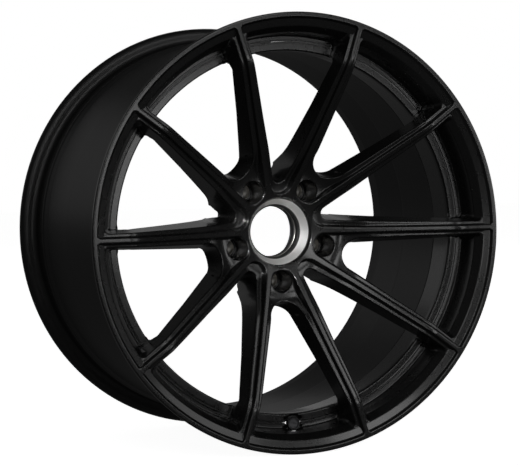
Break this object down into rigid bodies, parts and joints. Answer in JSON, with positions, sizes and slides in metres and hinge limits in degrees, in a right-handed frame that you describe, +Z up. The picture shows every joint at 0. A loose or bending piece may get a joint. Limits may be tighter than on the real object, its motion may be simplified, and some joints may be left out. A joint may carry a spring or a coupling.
{
  "type": "forged racing wheel rim",
  "caption": "Black forged racing wheel rim with slim straight spokes, stepped windows, a deep barrel, a bare machined centre ring, steel nut seats and a flush valve.",
  "frame": {"origin": "on the wheel axis, half way across the overall width of the rim", "axes": "+Y along the wheel axis from the street face towards the hub; the street face looks along -Y; +Z up, with the valve at the bottom; +X to the right when the street face is looked at"},
  "size_m": [0.4966, 0.2876, 0.4966],
  "materials": {
    "forging_black": "gloss",
    "barrel_black": "satin",
    "weld": "satin",
    "weld_painted": "satin",
    "bare_aluminium": "brushed",
    "spring_wire": "satin",
    "hub_ring": "satin",
    "seat_steel": "satin",
    "valve_metal": "polished",
    "valve_rubber": "matte",
    "valve_brass": "satin",
    "valve_cap": "satin"
  },
  "bodies": {
    "rim": {"forged_centre": "forging_black", "rim_barrel": "barrel_black", "outer_weld": "weld", "inner_weld": "weld_painted", "centre_bore_ring": "bare_aluminium", "bore_snap_ring": "spring_wire", "hub_locating_ring": "hub_ring", "lug_seat_insert_1": "seat_steel", "lug_seat_insert_2": "seat_steel", "lug_seat_insert_3": "seat_steel", "lug_seat_insert_4": "seat_steel", "lug_seat_insert_5": "seat_steel", "valve_body": "valve_metal", "valve_gasket": "valve_rubber", "valve_core_housing": "valve_brass", "valve_core_spring": "spring_wire"},
    "cap": {"valve_cap": "valve_cap", "valve_cap_seal": "valve_rubber"},
    "core_pin": {"valve_core_pin": "valve_brass", "valve_core_seal": "valve_rubber"}
  },
  "joints": [
    {"name": "valve_cap_off", "type": "slide", "parent": "rim", "child": "cap", "axis": [0, -1, 0], "range_m": [0, 0.012]},
    {"name": "valve_core_press", "type": "slide", "parent": "rim", "child": "core_pin", "axis": [0, 1, 0], "range_m": [0, 0.0012], "stiffness_N_per_m": 400, "springref_m": -0.001, "deforming": ["valve_core_spring"]}
  ]
}
